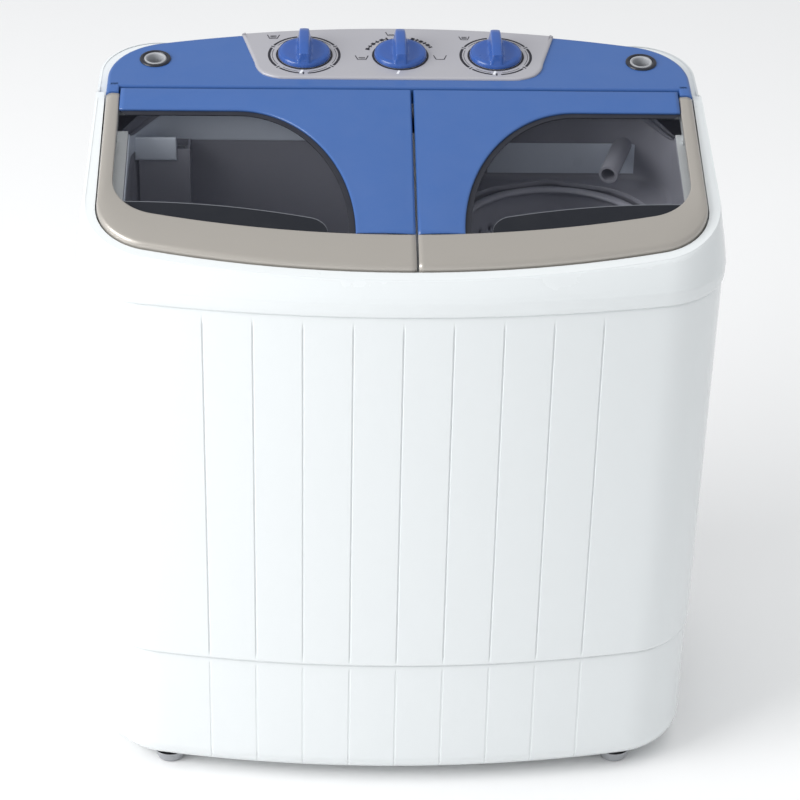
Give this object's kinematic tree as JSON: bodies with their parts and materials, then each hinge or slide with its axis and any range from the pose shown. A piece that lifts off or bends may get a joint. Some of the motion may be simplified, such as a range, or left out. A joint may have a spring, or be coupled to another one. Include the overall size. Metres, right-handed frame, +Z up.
{
  "type": "twin tub washing machine",
  "caption": "Compact top-loading washing machine with a wash tub and a spin drum side by side, smoked hinged lids and rotary controls",
  "frame": {"origin": "centre of the footprint on the floor under the rubber feet", "axes": "+X to the right seen from the front, +Y to the back, +Z up"},
  "size_m": [0.599, 0.3679, 0.6732],
  "materials": {
    "white_body": "moulded gloss",
    "white_rim": "moulded gloss",
    "tub_plastic": "moulded satin",
    "grey_plastic": "moulded satin",
    "filter_grey": "moulded satin",
    "pulsator_plastic": "moulded gloss",
    "basket_plastic": "moulded satin",
    "blue_plastic": "moulded gloss",
    "blue_knob": "moulded gloss",
    "silver_fascia": "metallic paint",
    "champagne_trim": "metallic paint",
    "smoked_pane": "smoked clear plastic",
    "dark_collar": "moulded gloss",
    "painted_steel": "powder coat",
    "zinc_steel": "zinc plated",
    "cast_grey": "as cast",
    "motor_steel": "black enamel",
    "black_rubber": "matt",
    "capacitor_can": "drawn"
  },
  "bodies": {
    "cabinet": {"base_housing": "white_body", "bottom_cover": "grey_plastic", "feet": "black_rubber", "cabinet_shell": "white_body", "back_panel": "painted_steel", "back_panel_screws": "zinc_steel", "top_frame": "white_rim", "hose_hanger": "white_rim", "wash_tub": "tub_plastic", "spin_outer_tub": "tub_plastic", "lint_filter_housing": "tub_plastic", "overflow_pipe": "grey_plastic", "drain_valve_body": "grey_plastic", "valve_bellows": "black_rubber", "drain_pipe": "black_rubber", "drain_outlet": "grey_plastic", "cord_gland": "black_rubber", "bearing_housing": "cast_grey", "drive_belt": "black_rubber", "motor_bracket": "zinc_steel", "wash_motor": "motor_steel", "spin_shaft_seal": "black_rubber", "spin_motor": "motor_steel", "spin_motor_mounts": "black_rubber", "brake_bracket": "zinc_steel", "control_console": "blue_plastic", "control_fascia": "silver_fascia", "wash_inlet_ring": "dark_collar", "spin_inlet_ring": "dark_collar", "wash_inlet_pipe": "tub_plastic", "spin_rinse_spout": "tub_plastic", "buzzer": "grey_plastic", "capacitors": "capacitor_can", "wash_timer": "grey_plastic", "program_selector": "grey_plastic", "spin_timer": "grey_plastic"},
    "wash_lid": {"wash_lid_panel": "blue_plastic", "wash_lid_window": "smoked_pane", "wash_lid_trim": "champagne_trim", "wash_lid_pins": "zinc_steel"},
    "spin_lid": {"spin_lid_panel": "blue_plastic", "spin_lid_window": "smoked_pane", "spin_lid_trim": "champagne_trim", "spin_lid_pins": "zinc_steel"},
    "wash_timer_dial": {"wash_timer_knob": "blue_knob", "wash_timer_shaft": "zinc_steel"},
    "program_dial": {"program_selector_knob": "blue_knob", "program_selector_shaft": "zinc_steel"},
    "spin_timer_dial": {"spin_timer_knob": "blue_knob", "spin_timer_shaft": "zinc_steel"},
    "pulsator_rotor": {"pulsator": "pulsator_plastic", "pulsator_shaft": "zinc_steel", "drive_pulley": "cast_grey"},
    "wash_motor_rotor": {"motor_pulley": "cast_grey"},
    "spin_drum": {"spin_basket": "basket_plastic", "spin_shaft": "zinc_steel", "brake_disc": "cast_grey"},
    "brake_arm": {"brake_lever": "zinc_steel"},
    "drain_stopper": {"drain_plug": "grey_plastic"},
    "lint_catcher": {"lint_filter": "filter_grey"}
  },
  "joints": [
    {"name": "wash_lid_hinge", "type": "hinge", "parent": "cabinet", "child": "wash_lid", "pos_m": [-0.13, 0.04877, 0.6288], "axis": [-1, 0, 0], "range_deg": [0, 110]},
    {"name": "spin_lid_hinge", "type": "hinge", "parent": "cabinet", "child": "spin_lid", "pos_m": [0.14, 0.04877, 0.6288], "axis": [-1, 0, 0], "range_deg": [0, 110]},
    {"name": "wash_timer_turn", "type": "hinge", "parent": "cabinet", "child": "wash_timer_dial", "pos_m": [-0.0905, 0.12452, 0.64927], "axis": [0, 0.1323, -0.9912], "range_deg": [0, 330]},
    {"name": "program_turn", "type": "hinge", "parent": "cabinet", "child": "program_dial", "pos_m": [0.0015, 0.12452, 0.64927], "axis": [0, 0.1323, -0.9912], "range_deg": [-90, 90]},
    {"name": "spin_timer_turn", "type": "hinge", "parent": "cabinet", "child": "spin_timer_dial", "pos_m": [0.093, 0.12452, 0.64927], "axis": [0, 0.1323, -0.9912], "range_deg": [0, 330]},
    {"name": "pulsator_turn", "type": "hinge", "parent": "cabinet", "child": "pulsator_rotor", "pos_m": [-0.131, -0.028, 0.136], "axis": [0, 0, 1], "continuous": true},
    {"name": "wash_motor_turn", "type": "hinge", "parent": "cabinet", "child": "wash_motor_rotor", "pos_m": [-0.207, 0.062, 0.136], "axis": [0, 0, 1], "continuous": true},
    {"name": "spin_drum_turn", "type": "hinge", "parent": "cabinet", "child": "spin_drum", "pos_m": [0.145, -0.034, 0.2], "axis": [0, 0, 1], "continuous": true},
    {"name": "brake_arm_swing", "type": "hinge", "parent": "cabinet", "child": "brake_arm", "pos_m": [0.053, -0.074, 0.173], "axis": [0, 0, -1], "range_deg": [0, 3]},
    {"name": "drain_stopper_lift", "type": "slide", "parent": "cabinet", "child": "drain_stopper", "axis": [0, 0, 1], "range_m": [0, 0.012], "stiffness_N_per_m": 150, "springref_m": -0.01, "deforming": ["valve_bellows"]},
    {"name": "lint_catcher_lift", "type": "slide", "parent": "cabinet", "child": "lint_catcher", "axis": [0, 0, 1], "range_m": [0, 0.018]}
  ],
  "couplings": [
    {"joint": "wash_motor_turn", "follows": "pulsator_turn", "ratio": 5.0833},
    {"joint": "brake_arm_swing", "follows": "spin_lid_hinge", "ratio": 0.02727}
  ]
}
